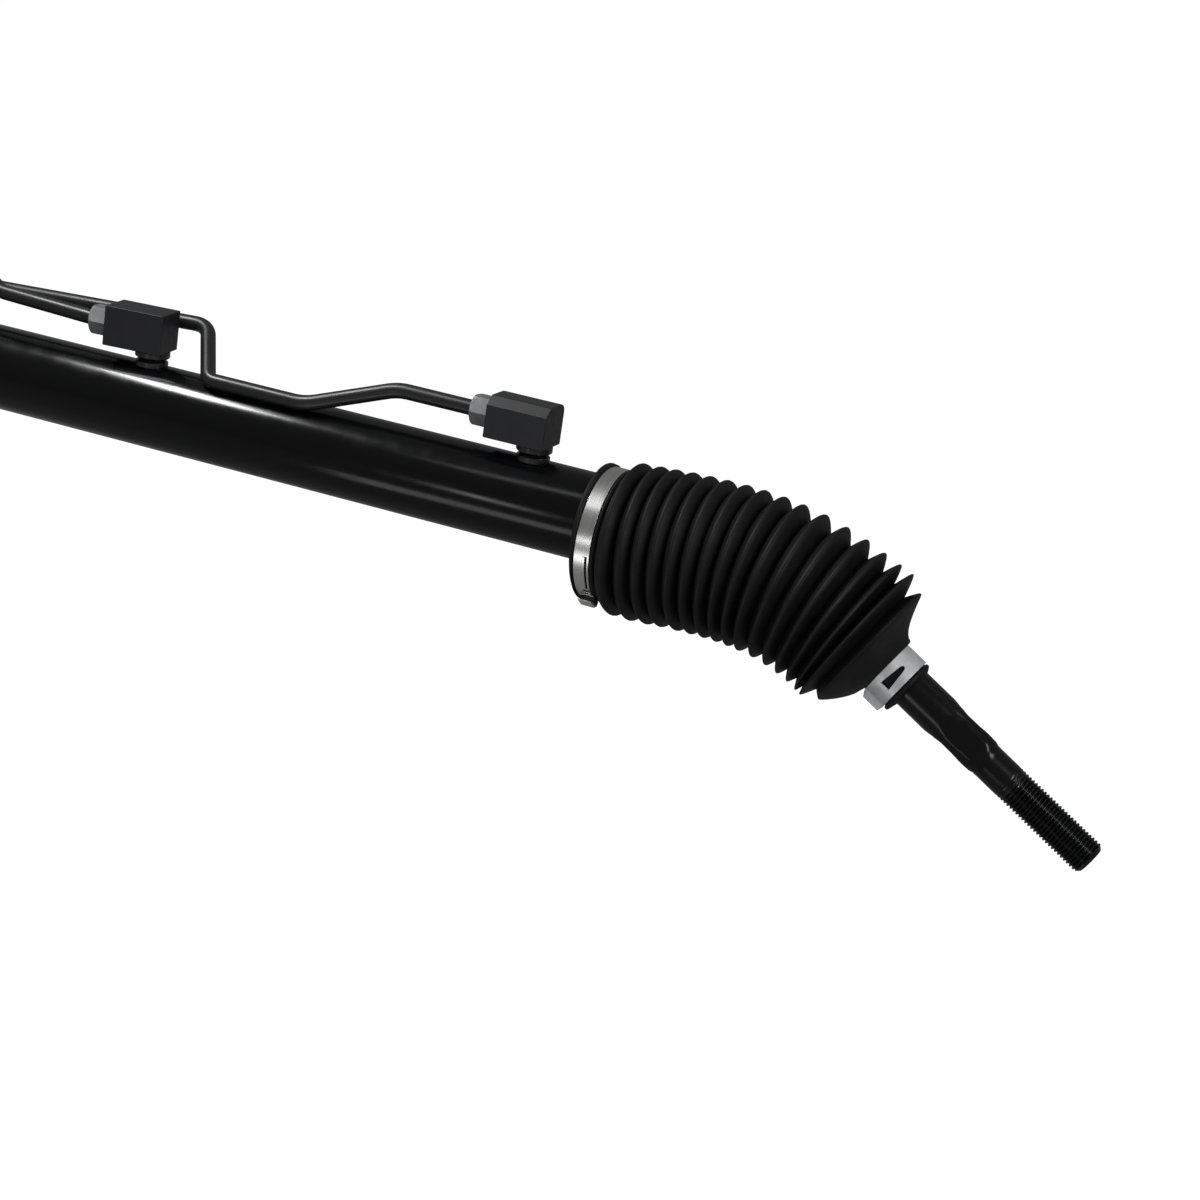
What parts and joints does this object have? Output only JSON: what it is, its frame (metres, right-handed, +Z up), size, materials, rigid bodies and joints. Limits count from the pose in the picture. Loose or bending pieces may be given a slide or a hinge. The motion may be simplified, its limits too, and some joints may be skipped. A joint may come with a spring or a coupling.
{
  "type": "hydraulic steering rack",
  "caption": "Hydraulic rack-and-pinion steering gear with cylinder tube, port blocks and pipes, pinion housing with valve tower, bellows and drooping tie rods on ball joints",
  "frame": {"origin": "On the rack bar's axis, in the stretch of bare tube where the saddle clamp grips", "axes": "+X along the rack bar towards the end with the cylinder tube, +Z up, towards the port blocks; -Y towards the yoke and the mounting lugs"},
  "size_m": [0.9122, 0.0902, 0.2026],
  "materials": {
    "tube": "gloss black paint over steel",
    "steel": "ground bright steel",
    "dark_steel": "satin black coated steel",
    "zinc": "grey zinc plating",
    "stainless": "brushed stainless strip",
    "rubber": "matt black rubber",
    "block": "satin near-black coating",
    "pipe": "satin black coated pipe",
    "rod": "semi-gloss black paint over steel",
    "casting": "as-cast aluminium",
    "bronze": "sintered bronze",
    "plastic": "off-white bearing plastic",
    "seal": "dark sealing rubber"
  },
  "bodies": {
    "housing": {"cylinder_tube": "tube", "bellows_seat_collar": "tube", "pinion_housing": "casting", "rack_end_bush": "bronze", "left_rack_bush": "plastic", "outer_rack_seal": "seal", "inner_rack_seal": "seal", "inner_seal_carrier": "plastic", "bellows_right": "rubber", "bellows_left": "rubber", "large_clamp_right": "stainless", "large_clamp_left": "stainless", "port_block_inner": "block", "port_block_outer": "block", "port_unions": "dark_steel", "union_rings": "seal", "pipe_inner": "pipe", "pipe_outer": "pipe", "pipe_nuts": "zinc", "pinion_bearings": "steel", "bottom_cap": "zinc", "shaft_seal": "seal", "seal_clip": "steel", "dust_boot": "rubber", "yoke": "casting", "yoke_liner": "plastic", "yoke_springs": "steel", "yoke_plug": "zinc", "yoke_lock_nut": "zinc", "lug_bushes": "rubber", "lug_sleeves": "zinc"},
    "rack": {"rack_bar": "steel", "piston": "steel", "piston_ring": "plastic", "piston_clips": "steel", "ball_socket_right": "steel", "ball_socket_left": "steel", "lock_washer_right": "steel", "lock_washer_left": "steel"},
    "ball_seat_right": {"ball_seat_right": "plastic"},
    "ball_seat_left": {"ball_seat_left": "plastic"},
    "tie_rod_right": {"tie_rod_right": "rod", "small_clamp_right": "zinc"},
    "tie_rod_left": {"tie_rod_left": "rod", "small_clamp_left": "zinc"},
    "pinion": {"pinion": "steel", "pinion_nut": "steel", "valve_sleeve": "steel", "sleeve_pin": "steel", "sleeve_rings": "plastic", "torsion_bar": "steel"},
    "input_shaft": {"input_shaft": "steel", "torsion_pin": "steel"}
  },
  "joints": [
    {"name": "rack_slide", "type": "slide", "parent": "housing", "child": "rack", "axis": [1, 0, 0], "range_m": [-0.057, 0.057], "deforming": ["bellows_right", "bellows_left"]},
    {"name": "pinion_turn", "type": "hinge", "parent": "housing", "child": "pinion", "pos_m": [-0.3, 0.01475, 0], "axis": [0.342, 0, 0.9397], "range_deg": [-470, 470]},
    {"name": "input_twist", "type": "hinge", "parent": "pinion", "child": "input_shaft", "pos_m": [-0.3, 0.01475, 0], "axis": [0.342, 0, 0.9397], "range_deg": [-4, 4], "stiffness_Nm_per_rad": 100},
    {"name": "ball_right_vertical", "type": "hinge", "parent": "rack", "child": "ball_seat_right", "pos_m": [0.1645, 0, 0], "axis": [0, 1, 0], "range_deg": [-63, 1], "deforming": ["bellows_right"]},
    {"name": "ball_right_fore_aft", "type": "hinge", "parent": "ball_seat_right", "child": "tie_rod_right", "pos_m": [0.1645, 0, 0], "axis": [0.515, 0, 0.8572], "range_deg": [-10, 10], "deforming": ["bellows_right"]},
    {"name": "ball_left_vertical", "type": "hinge", "parent": "rack", "child": "ball_seat_left", "pos_m": [-0.4755, 0, 0], "axis": [0, -1, 0], "range_deg": [-63, 1], "deforming": ["bellows_left"]},
    {"name": "ball_left_fore_aft", "type": "hinge", "parent": "ball_seat_left", "child": "tie_rod_left", "pos_m": [-0.4755, 0, 0], "axis": [-0.515, 0, 0.8572], "range_deg": [-10, 10], "deforming": ["bellows_left"]}
  ],
  "couplings": [
    {"joint": "pinion_turn", "follows": "rack_slide", "rad_per_m": 142.86}
  ]
}
